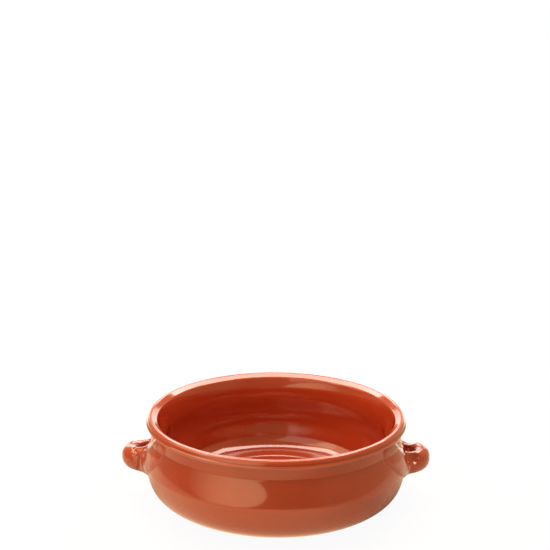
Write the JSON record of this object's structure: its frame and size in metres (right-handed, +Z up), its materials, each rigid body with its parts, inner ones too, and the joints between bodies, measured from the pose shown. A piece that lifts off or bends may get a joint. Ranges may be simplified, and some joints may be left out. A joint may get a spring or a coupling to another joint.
{
  "type": "lugged casserole dish",
  "caption": "Round red earthenware casserole dish with a rolled lip, a belted belly and looped coil lugs on opposite sides, under a clear glaze",
  "frame": {"origin": "centre of the flat base, on the table", "axes": "X runs through both lugs, left lug at minus X; Y runs away from the viewer of the picture; Z is up through the mouth"},
  "size_m": [0.2404, 0.2028, 0.0706],
  "materials": {
    "glazed_bowl": "glossy clear glaze over red earthenware",
    "glazed_left_lug": "glossy clear glaze over red earthenware",
    "glazed_right_lug": "glossy clear glaze over red earthenware"
  },
  "bodies": {
    "root": {"bowl": "glazed_bowl", "left_lug": "glazed_left_lug", "right_lug": "glazed_right_lug"}
  },
  "joints": []
}
